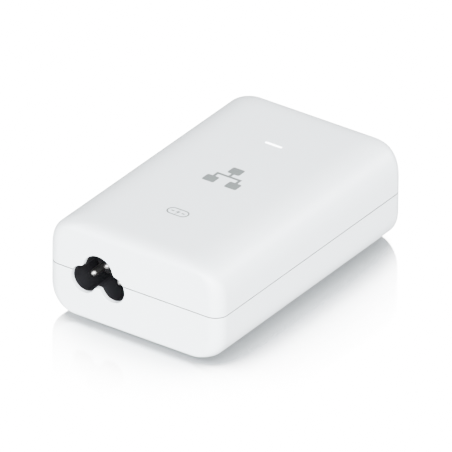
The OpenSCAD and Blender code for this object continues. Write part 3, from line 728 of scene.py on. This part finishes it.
def cut_ends(shell):
    """The inlet's opening and the two socket openings, through either shell."""
    cut(shell, clover_solid(mouth_profile(0.22, WALL + 1.5), -BODY_L / 2))
    w = JACK_W + 2 * SHIELD_T + 2 * FIT_GAP
    h = JACK_H + SHIELD_T + 2 * FIT_GAP
    for x in JACK_XS.values():
        z = BOARD_TOP - FIT_GAP + h / 2
        cut(shell, block_y(x, z, w, h, 0.4, mouth_profile(0.3, WALL + 2), BODY_L / 2, 1))


def build_upper_shell(materials):
    z0 = SEAM_H + SEAM_GAP
    drop, drop_in = SIDE_TOP[1], SIDE_TOP[1] - WALL
    outer = [case_level(z, 0, extra) for z, extra in lip_levels(z0, 1)]
    outer += [case_level(BODY_H - drop + h, 0) for h in curve_heights(drop, TOP_POWER)]
    heights = curve_heights(drop_in, TOP_POWER)
    inner = [case_level(BODY_H - WALL - drop_in + h, WALL) for h in reversed(heights)]
    rebate = WALL - TONGUE_T
    inner += [case_level(z0 + TONGUE_H, d) for d in (WALL, rebate)]
    inner.append(case_level(z0, rebate))
    shell = bowl("upper_case", outer, inner)
    cut_ends(shell)
    slit = mouth_profile(0.15, WALL + 1.5)
    cut(shell, block_z(0, SLIT_Y, SLIT_LEN, SLIT_W, 0.3, slit, TOP_Z, 1))
    finish(shell, "case", "case_plastic", materials, "upper_shell")


def build_lower_shell(materials):
    r, r_in = SIDE_BOTTOM_R, SIDE_BOTTOM_R - WALL
    outer = [case_level(z, 0, extra) for z, extra in lip_levels(SEAM_H, -1)]
    outer += [case_level(r - h, 0) for h in curve_heights(r, BOTTOM_POWER)]
    inner = [case_level(WALL + r_in - h, WALL) for h in reversed(curve_heights(r_in, BOTTOM_POWER))]
    tongue = WALL - TONGUE_T + SKIN
    inner += [case_level(SEAM_H + TONGUE_H, d) for d in (WALL, tongue)]
    inner.append(case_level(SEAM_H, tongue))
    shell = bowl("lower_case", outer, inner)
    cut_ends(shell)
    for x, y in foot_places():
        rings = []
        for depth, wide in mouth_profile(0.15, 0.8):
            outline = circle(FOOT_D / 2 + 0.15 + wide, 48)
            rings.append([(x + px, y + py, CASE_Z + depth) for px, py in outline])
        cut(shell, loft("cutter", rings))
    cut(shell, block_z(0, 0, LABEL_W + 0.8, LABEL_L + 0.8, 2.4, mouth_profile(0.1, 0.3), CASE_Z, -1))
    for x, y in POSTS:
        post = lathe("post", [(POST_R, CASE_Z + WALL / 2), (POST_R, BOARD_TOP - BOARD_T)], (x, y), 32)
        cut(shell, post, "UNION")
    finish(shell, "case", "case_plastic", materials, "lower_shell")


def foot_places():
    return [(sx * FOOT_SPAN[0] / 2, sy * FOOT_SPAN[1] / 2) for sy in (-1, 1) for sx in (-1, 1)]


def build_feet(materials):
    """Rubber feet with a rounded edge and a shallow dimple in the middle of the tread."""
    r = FOOT_D / 2
    for number, (x, y) in enumerate(foot_places(), 1):
        profile = [(0.05, 0.12), (1.6, 0.12), (1.9, 0.02), (2.1, 0)]
        profile += [(p.x, p.z) for p in arc((r - 0.4, 0, 0.4), (0.4, 0, 0), (0, 0, 0.4), -90, 0)]
        profile += [(r, FOOT_TOP), (0.05, FOOT_TOP)]
        foot = lathe(f"rubber_foot_{number}", profile, (x, y))
        finish(foot, "case", "foot_rubber", materials, f"foot_{number}")


def build_label(materials):
    """The blank rating label: a film with rounded edges, a printed frame and empty rows."""
    edge = mouth_profile(0.05, 0.2, 3, 0)[1:]
    pairs = [(depth, -wide) for depth, wide in edge]
    label = block_z(0, 0, LABEL_W, LABEL_L, 2, pairs, LABEL_Z, -1)
    finish(label, "case", "label_film", materials, "rating_label")
    low = LABEL_Z - INK_T
    frame_l, frame_w, line = LABEL_L - 4, LABEL_W - 4, 0.3
    parts = [ring_plate(0, 0, frame_w, frame_l, 1.2, line, low, LABEL_Z)]
    for row in (0.28, 0.08, -0.12, -0.32):
        parts.append(rectangle_plate(0, row * frame_l, frame_w - 2 * line, line, low, LABEL_Z))
    finish(join("label_print", parts), "case", None, materials, color="printed_ink")


# ---------------------------------------------------------------------------------------------
# Printed marks
# ---------------------------------------------------------------------------------------------
def plate(outline, low, high):
    """A thin plate from an outline in the plane."""
    return loft("plate", [[(x, y, z) for x, y in outline] for z in (low, high)])


def rectangle_plate(x, y, w, l, low, high, r=0.04):
    return plate([(x + px, y + py) for px, py in rounded_rectangle(w, l, r, 4)], low, high)


def ring_plate(x, y, w, l, r, line, low, high):
    """A printed outline, line wide, of a rounded rectangle."""
    rings = []
    for inset, z in ((0, low), (0, high), (line, high), (line, low)):
        outline = rounded_rectangle(w - 2 * inset, l - 2 * inset, r - inset, 10)
        rings.append([(x + px, y + py, z) for px, py in outline])
    return pipe("plate", rings)


def network_plates(x, y, size, low, high):
    """A generic network tree: one box over two, joined by lines. size is its width."""
    unit = size / 12
    box_w, box_l, line = 4.2 * unit, 3.6 * unit, 0.95 * unit
    spread, rise = 3.9 * unit, 3.7 * unit
    gap = rise - box_l / 2 - line / 2
    parts = [rectangle_plate(x, y + rise, box_w, box_l, low, high, 0.6 * unit)]
    parts.append(rectangle_plate(x, y + line / 2 + gap / 2, line, gap, low, high))
    parts.append(rectangle_plate(x, y, 2 * spread + line, line, low, high))
    for side in (-1, 1):
        parts.append(rectangle_plate(x + side * spread, y - line / 2 - gap / 2, line, gap, low, high))
        parts.append(rectangle_plate(x + side * spread, y - rise, box_w, box_l, low, high, 0.6 * unit))
    return parts


def bolt_plates(x, y, height, low, high):
    """A generic lightning bolt of the given height."""
    unit = height / 10
    outline = [(1.4, 5), (-2.6, -0.7), (-0.3, -0.7), (-1.4, -5), (2.6, 0.9), (0.3, 0.9)]
    return [plate([(x + px * unit, y + py * unit) for px, py in outline], low, high)]


def stand_up(obj, y):
    """Turn a print that lies in XY over onto the rear face at y, seen from behind."""
    turn = Matrix(((-1, 0, 0), (0, 0, 1), (0, 1, 0)))
    obj.data.transform(Matrix.Translation((0, y * MM, 0)) @ turn.to_4x4())


def build_prints(materials):
    """Generic marks in grey ink: a network symbol, a badge with a bolt, and one icon over each socket."""
    low, high = TOP_Z, TOP_Z + INK_T
    symbol = network_plates(MARK_X, MARK_Y, MARK_SIZE, low, high)
    finish(join("network_symbol", symbol), "case", None, materials, color="printed_ink")
    x, y = BADGE_X, BADGE_Y
    badge = [ring_plate(x, y, BADGE_W, BADGE_L, BADGE_L / 2 - 0.01, 0.5, low, high)]
    badge += bolt_plates(x, y, 3.1, low, high)
    badge += [rectangle_plate(x + side, y, 1.1, 0.55, low, high) for side in (-1.9, 1.9)]
    finish(join("power_badge", badge), "case", None, materials, color="printed_ink")
    for name, x in JACK_XS.items():
        if name == "lan":
            icon = network_plates(-x, SOCKET_ICON_Z, 4.4, 0, INK_T)
        else:
            icon = bolt_plates(-x, SOCKET_ICON_Z, 4.2, 0, INK_T)
        piece = join(f"{name}_socket_icon", icon)
        stand_up(piece, BODY_L / 2)
        finish(piece, "case", None, materials, color="printed_ink")


# ---------------------------------------------------------------------------------------------
# Mains inlet and light slit
# ---------------------------------------------------------------------------------------------
def build_inlet(materials):
    """The black housing: block, collar inside the case's opening, recess and three pin bores."""
    face, back = -BODY_L / 2 + WALL, -BODY_L / 2 + INLET_DEPTH + 2
    half_w = LOBE_PITCH / 2 + SIDE_LOBE_R - RECESS_STEP + INLET_WALL
    top = PIN_Z + EARTH_RISE + EARTH_LOBE_R - RECESS_STEP + INLET_WALL
    height = top - BOARD_TOP
    length = back - face
    pairs = [(0, -0.2), (0.2, 0), (length - 0.2, 0), (length, -0.2)]
    housing = block_y(INLET_X, BOARD_TOP + height / 2, 2 * half_w, height, 1.0, pairs, face, -1)
    collar = [(0, -0.15), (0.15, 0), (INLET_COLLAR + 1, 0)]
    cut(housing, clover_solid(collar, face - INLET_COLLAR, -SKIN), "UNION")
    mouth = mouth_profile(0.12, INLET_DEPTH - WALL + INLET_COLLAR, 3)
    cut(housing, clover_solid(mouth, face - INLET_COLLAR, -RECESS_STEP))
    floor = -BODY_L / 2 + INLET_DEPTH
    for x, z, _ in pin_places():
        rings = [[(x + px, y, z + pz) for px, pz in circle(PIN_ROOT_R, 32)] for y in (floor - 1, back + 1)]
        cut(housing, loft("cutter", rings))
    finish(housing, "case", "inlet_plastic", materials, "ac_inlet_housing")


def pin_places():
    """x, z and tail y of the line, neutral and earth pins."""
    tail = -BODY_L / 2 + INLET_DEPTH + 4
    return (
        (INLET_X + PIN_PITCH / 2, PIN_Z, tail),
        (INLET_X - PIN_PITCH / 2, PIN_Z, tail),
        (INLET_X, PIN_Z + EARTH_RISE, tail + 1),
    )


def build_pins(materials):
    """Nickel pins: a domed tip, a shoulder on the recess's floor, and a tail bent down into the board."""
    tip, floor = -BODY_L / 2 + PIN_SETBACK, -BODY_L / 2 + INLET_DEPTH
    bend = 1.0
    for name, (x, z, tail) in zip(("line", "neutral", "earth"), pin_places()):
        path, radii = [], []
        for step in range(10):
            a = math.pi / 2 * (step + 0.3) / 9.3
            path.append((x, tip + 1.1 * PIN_R * (1 - math.cos(a)), z))
            radii.append(PIN_R * math.sin(a))
        path += [(x, floor - 0.02, z), (x, floor, z), (x, tail - bend, z)]
        radii += [PIN_R, PIN_ROOT_R, PIN_ROOT_R]
        turn = arc((x, tail - bend, z - bend), (0, bend, 0), (0, 0, bend), 75, 0)
        path += turn + [(x, tail, LEAD_TIP_Z + 0.3), (x, tail, LEAD_TIP_Z)]
        taper = [1 - k / len(turn) for k in range(1, len(turn) + 1)]
        radii += [PIN_TAIL_R + (PIN_ROOT_R - PIN_TAIL_R) * t for t in taper]
        radii += [PIN_TAIL_R, PIN_TAIL_R * 0.6]
        pin = sweep(f"{name}_pin", path, circle(1, 28), radii)
        finish(pin, "case", "pin_nickel", materials, f"inlet_{name}_pin")


def build_light_pipe(materials):
    """The lens in the slit: a bar with a rounded top over a flange that holds it behind the case wall."""
    top, foot = TOP_Z - 0.1, BOARD_TOP + 1.6
    width = SLIT_W - 2 * SKIN
    bar = [(0, -0.12), (0.04, -0.05), (0.12, 0), (top - foot - 0.1, 0), (top - foot, -0.1)]
    pipe_bar = block_z(0, SLIT_Y, SLIT_LEN - 2 * SKIN, width, 0.26, bar, top, 1)
    flange = [(0, -0.15), (0.15, 0), (0.95, 0), (1.1, -0.15)]
    plate_z = TOP_Z - WALL - 0.2
    cut(pipe_bar, block_z(0, SLIT_Y, SLIT_LEN + 1.8, SLIT_W + 1.8, 0.5, flange, plate_z, 1), "UNION")
    finish(pipe_bar, "case", "light_pipe", materials, "led_light_pipe")


# ---------------------------------------------------------------------------------------------
# Data sockets
# ---------------------------------------------------------------------------------------------
def contact_xs(x):
    return [x + (i - (CONTACTS - 1) / 2) * CONTACT_PITCH for i in range(CONTACTS)]


def build_contact_springs(name, x, materials):
    """Eight gold wires that slope from the hinge line into the opening and turn up at their tips."""
    back, down = -math.cos(CONTACT_SLOPE), -math.sin(CONTACT_SLOPE)
    section = rounded_rectangle(CONTACT_W, CONTACT_T, 0.1, 3)
    curl = 0.3
    wires = []
    for wire_x in contact_xs(x):
        path = []
        for step in range(15):
            along = CONTACT_LEN * step / 14
            rise = curl * max(0, along / CONTACT_LEN - 0.8) / 0.2
            path.append((wire_x, HINGE_Y + along * back, HINGE_Z + along * down + rise * rise / curl))
        scales = [0.6] + [1.0] * 13 + [0.6]
        path[0] = (wire_x, HINGE_Y + 0.12, HINGE_Z + 0.04)
        wires.append(sweep("wire", path, section, scales))
    piece = join(f"{name}_contact_wires", wires)
    finish(piece, f"{name}_contact_spring_row", "contact_gold", materials, f"{name}_contact_springs")


def build_sockets(materials):
    for name, x in JACK_XS.items():
        for node, width, slot in (
            ("jack_housing", 0, "jack_plastic"),
            ("jack_shield", 0.06, "shield_metal"),
            ("contact_tails", 0.05, "contact_gold"),
        ):
            piece = soften(f"{name}_{node}", width)
            finish(piece, "case", slot, materials, f"{name}_{node}")
        build_contact_springs(name, x, materials)


# ---------------------------------------------------------------------------------------------
# Parts on the board
# ---------------------------------------------------------------------------------------------
# Nodes whose CAD shape is kept, with the radius that rounds their edges.
SOFT_NODES = {
    "status_led": 0.1,
    "insulator_sheet": 0.08,
    "mains_fuse": 0.35,
    "mains_filter_capacitor": 0.5,
    "choke_core": 0.8,
    "bridge_rectifier": 0.2,
    "transformer_core": 0.3,
    "transformer_bobbin": 0.25,
    "primary_heat_sink": 0.2,
    "switching_transistor": 0.2,
    "secondary_heat_sink": 0.2,
    "output_diode": 0.2,
    "heat_sink_screws": 0.15,
    "feedback_optocoupler": 0.15,
    "output_choke": 0.2,
    "controller_chip": 0.08,
    "data_transformer_module": 0.12,
}
CHOKE_POS = (-11.5, -21.8)
CHOKE_R = (4.2, 8.0)
CHOKE_H = 7.0
CHOKE_LIFT = 2.2
CHOKE_LEAD = (6.4, 4.0)
CORE_POS = (-6.0, 2.0)
CORE_Z = BOARD_TOP + 10
BULK_POS = (17.0, -8.0)
BULK_R = 8.0
BULK_LEN = 27.0
OUTPUT_CAPS = (("output_capacitor_1", 12.5, 12.5), ("output_capacitor_2", 12.5, 25.2))
DISCS = (
    ("surge_varistor", "varistor_coat", (13.8, -41.0), 10.0, 4.0, 3.0),
    ("inrush_thermistor", "thermistor_coat", (20.0, -36.1), 9.0, 4.2, 2.5),
    ("safety_capacitor", "safety_capacitor_coat", (-16.0, 18.2), 8.0, 3.6, 2.5),
)


def lead(points, r=0.3, sides=12):
    """A round wire along the points."""
    return sweep("lead", points, circle(r, sides))


def build_disc(name, slot, place, d, t, span, materials):
    """A dipped disc part: a lens-shaped body whose coat runs down onto two straight leads."""
    x, y = place
    z = BOARD_TOP + 1.5 + d / 2
    rings = []
    for step in range(17):
        a = math.radians(-80 + 10 * step)
        r = d / 2 * (0.62 + 0.38 * math.cos(a) ** 0.7) if abs(a) < math.pi / 2 else d * 0.3
        ring_y = y + t / 2 * math.sin(a) / math.sin(math.radians(80))
        rings.append([(x + px, ring_y, z + pz) for px, pz in circle(r, 40)])
    parts = [loft("body", rings)]
    for side in (-1, 1):
        foot_x = x + side * span
        bead = [(0.3, BOARD_TOP + 0.5), (0.55, BOARD_TOP + 0.9), (0.75, BOARD_TOP + 2.2), (0.5, z - d / 5)]
        parts.append(lathe("bead", bead, (foot_x, y), 16))
        parts.append(lead([(foot_x, y, LEAD_TIP_Z), (foot_x, y, BOARD_TOP + 0.5)]))
    finish(join(f"{name}_detail", parts), "case", slot, materials, name)


def can_profile(r, length, groove):
    """(radius, height) pairs of an electrolytic can: rolled seal, groove, sleeve and rounded rim."""
    pairs = [(0.1, 0.25), (r - 1.2, 0.25), (r - 0.9, 0)]
    pairs += [(p.x, p.z) for p in arc((r - 0.5, 0, 0.5), (0.5, 0, 0), (0, 0, 0.5), -90, 0, 5)]
    for step in range(9):
        dip = 0.45 * math.sin(math.pi * step / 8) ** 2
        pairs.append((r - dip, groove - 0.8 + 1.6 * step / 8))
    pairs += [(p.x, p.z) for p in arc((r - 0.5, 0, length - 0.5), (0.5, 0, 0), (0, 0, 0.5), 0, 90, 5)]
    pairs += [(r - 0.9, length - 0.05), (r - 1.1, length - 0.3), (0.1, length - 0.3)]
    return pairs


def build_can(name, node, slot, place, r, length, groove, leads, materials, lying=False):
    """An upright can at place, or one that lies along +Y, with a cross scored in its vent."""
    can = lathe("can", can_profile(r, length, groove), (0, 0), 56)
    for turn in (0, 90):
        score = block_z(0, 0, 0.35, r * 1.1, 0.15, [(-0.5, 0), (0.2, 0)], length - 0.3, 1, 3)
        score.data.transform(Matrix.Rotation(math.radians(turn), 4, "Z"))
        cut(can, score)
    rotation = Matrix.Rotation(math.radians(-90), 4, "X") if lying else Matrix.Identity(4)
    can.data.transform(Matrix.Translation(Vector(place) * MM) @ rotation)
    finish(join(name, [can] + leads), "case", slot, materials, node)


def build_capacitors(materials):
    z = BOARD_TOP + BULK_R + 0.1
    y0 = BULK_POS[1] - BULK_LEN / 2
    leads = []
    for side in (-1, 1):
        x = BULK_POS[0] + side * 3.5
        bend = arc((x, y0 - 0.6, z - 1), (0, -1, 0), (0, 0, 1), 90, 0)
        leads.append(lead([(x, y0 + 1, z)] + bend + [(x, y0 - 1.6, LEAD_TIP_Z)], 0.35))
    place = (BULK_POS[0], y0, z)
    build_can("bulk_capacitor_can", "bulk_capacitor", "capacitor_sleeve", place, BULK_R, BULK_LEN, 3.5, leads,
              materials, lying=True)
    for node, x, y in OUTPUT_CAPS:
        leads = [lead([(x + s * 2.5, y, LEAD_TIP_Z), (x + s * 2.5, y, BOARD_TOP + 1)]) for s in (-1, 1)]
        foot = (x, y, BOARD_TOP)
        build_can(f"{node}_can", node, "capacitor_sleeve", foot, 5.0, 18.0, 2.3, leads, materials)


def build_choke_windings(materials):
    """Two half windings of round copper wire on the ring core, with their leads down into the board."""
    wire_r, turns, steps = 0.5, 11, 28
    low, high = CHOKE_R[0] - wire_r - 0.06, CHOKE_R[1] + wire_r + 0.06
    half_r, half_z = (high - low) / 2, CHOKE_H / 2 + wire_r + 0.06
    centre_r = (high + low) / 2
    centre_z = BOARD_TOP + CHOKE_LIFT + CHOKE_H / 2
    halves = []
    for side in (1, -1):
        path = []
        for k in range(turns * steps + 1):
            turn = 2 * math.pi * k / steps
            across, up = math.cos(turn), math.sin(turn)
            square = (abs(across) ** 6 + abs(up) ** 6) ** (-1 / 6)
            r = centre_r + half_r * across * square
            a = math.radians(-54 + 108 * k / (turns * steps)) + (0 if side > 0 else math.pi)
            z = centre_z - half_z * up * square
            path.append((CHOKE_POS[0] + r * math.cos(a), CHOKE_POS[1] + r * math.sin(a), z))
        ends = []
        for s in (-1, 1):
            x, y = CHOKE_POS[0] + side * CHOKE_LEAD[0], CHOKE_POS[1] + s * side * CHOKE_LEAD[1]
            ends.append([(x, y, LEAD_TIP_Z), (x, y, BOARD_TOP + 1.3)])
        halves.append(sweep("winding", path, circle(wire_r, 10)))
        halves += [lead(points, 0.4) for points in ends]
    finish(join("choke_wire", halves), "case", "copper_wire", materials, "choke_windings", angle=60)


def build_transformer_winding(materials):
    """Tape wound round the bobbin: overlapping wraps, crowned a little in the middle."""
    length, w, h = 14.2, 16.0, 15.0
    rings = []
    for k in range(25):
        t = k / 24
        wrap = 0.09 * (t * 4 % 1)
        crown = 0.25 * (2 * t - 1) ** 4 + wrap
        y = CORE_POS[1] - length / 2 + length * t
        outline = rounded_rectangle(w - 2 * crown, h - 2 * crown, 3, 8)
        rings.append([(CORE_POS[0] + px, y, CORE_Z + pz) for px, pz in outline])
    for t in (1, 0):
        y = CORE_POS[1] - length / 2 + length * t
        outline = rounded_rectangle(9.2, 9.2, 0.2, 8)
        rings.append([(CORE_POS[0] + px, y, CORE_Z + pz) for px, pz in outline])
    tape = pipe("transformer_tape", rings)
    finish(tape, "case", "winding_tape", materials, "transformer_winding", angle=50)


def build_board_parts(materials, slots):
    for node, width in SOFT_NODES.items():
        finish(soften(node, width), "case", slots[node], materials, node)
    for name, slot, place, d, t, span in DISCS:
        build_disc(name, slot, place, d, t, span, materials)
    build_capacitors(materials)
    build_choke_windings(materials)
    build_transformer_winding(materials)


# ---------------------------------------------------------------------------------------------
# Assembly
# ---------------------------------------------------------------------------------------------
def main():
    add_camera()
    add_room()
    add_floor()
    for name, (direction, size, radiance) in SOFTBOXES.items():
        add_softbox(name, direction, size, radiance)
    add_sheen()
    materials = make_materials()
    slots = {part["node"]: part["material_slot"] for part in frame["record"]["subparts"]}
    for node, obj in frame["nodes"].items():
        obj.data.materials.clear()
        obj.data.materials.append(materials[slots[node]])
    build_upper_shell(materials)
    build_lower_shell(materials)
    build_feet(materials)
    build_label(materials)
    build_prints(materials)
    build_inlet(materials)
    build_pins(materials)
    build_light_pipe(materials)
    build_sockets(materials)
    build_board_parts(materials, slots)


main()
